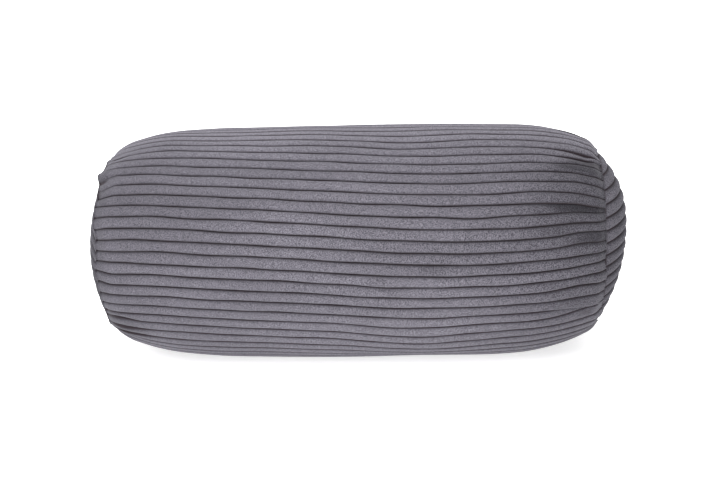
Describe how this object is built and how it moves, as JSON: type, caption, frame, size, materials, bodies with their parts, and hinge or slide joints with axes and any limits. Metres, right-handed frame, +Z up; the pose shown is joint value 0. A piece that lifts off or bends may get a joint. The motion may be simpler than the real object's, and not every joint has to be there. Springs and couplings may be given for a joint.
{
  "type": "neck roll pillow",
  "caption": "Stuffed cylindrical neck roll pillow in wide-wale corduroy, its wales along the roll, with a domed round panel sewn into each end.",
  "frame": {"origin": "Under the middle of the roll, on the surface that it lies on.", "axes": "+X along the roll to its right end, -Y to its front, +Z up."},
  "size_m": [0.4006, 0.1748, 0.1681],
  "materials": {
    "corduroy": "Plain grey wide-wale corduroy with a short velvety nap, dark in the grooves."
  },
  "bodies": {
    "root": {"roll_body": "corduroy", "end_panel_left": "corduroy", "end_panel_right": "corduroy"}
  },
  "joints": []
}
